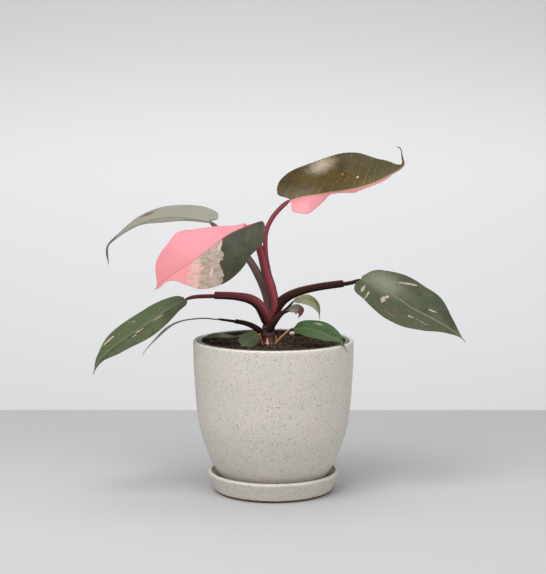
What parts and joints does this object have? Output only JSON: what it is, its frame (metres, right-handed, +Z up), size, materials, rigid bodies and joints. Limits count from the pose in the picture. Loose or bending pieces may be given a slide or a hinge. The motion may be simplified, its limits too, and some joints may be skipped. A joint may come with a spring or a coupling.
{
  "type": "pink princess philodendron in a pot",
  "caption": "Young potted aroid house plant with pink and green variegated leaves, in a speckled stoneware pot on a matching saucer, for a shelf or table.",
  "frame": {"origin": "centre of the saucer's underside, where it meets the table", "axes": "+Z up; the plant's front, the side the picture shows, faces -Y; the two largest leaves spread along X"},
  "size_m": [0.3185, 0.14, 0.3012],
  "materials": {
    "stoneware": "matte, finely speckled",
    "nursery_plastic": "satin",
    "potting_mix": "crumbly, damp",
    "stem": "satin plant skin",
    "petiole": "satin plant skin",
    "petiole_dark": "satin plant skin",
    "petiole_green": "satin plant skin",
    "leaf_olive_pink": "glossy leaf, half olive, half pink",
    "leaf_pink_green": "satin leaf, half pink, half marbled green",
    "leaf_grey_green": "satin leaf",
    "leaf_green": "satin leaf with pink streaks",
    "leaf_dark_green": "satin leaf with cream splashes",
    "leaf_bright_green": "satin leaf",
    "dry_plant": "dry, papery",
    "perlite": "matte, porous"
  },
  "bodies": {
    "root": {"saucer": "stoneware", "ceramic_pot": "stoneware", "nursery_pot": "nursery_plastic", "soil": "potting_mix", "main_stem": "stem", "petiole_top": "petiole", "petiole_pink": "petiole", "petiole_back_left": "petiole_dark", "petiole_lower_left": "petiole", "petiole_right": "petiole_dark", "petiole_edge_on": "petiole_dark", "petiole_small_curved": "petiole_dark", "petiole_small_back": "petiole_dark", "petiole_small_green": "petiole_green", "petiole_small_front": "petiole", "petiole_small_left": "petiole_green", "leaf_top": "leaf_olive_pink", "leaf_pink": "leaf_pink_green", "leaf_back_left": "leaf_grey_green", "leaf_lower_left": "leaf_green", "leaf_right": "leaf_dark_green", "leaf_edge_on": "leaf_green", "leaf_small_green": "leaf_bright_green", "leaf_small_curved": "leaf_grey_green", "leaf_small_back": "leaf_grey_green", "leaf_small_front": "leaf_green", "leaf_small_left": "leaf_green", "dry_sheath": "dry_plant", "dry_stick": "dry_plant", "dry_twig": "dry_plant", "perlite_pebble": "perlite"}
  },
  "joints": []
}
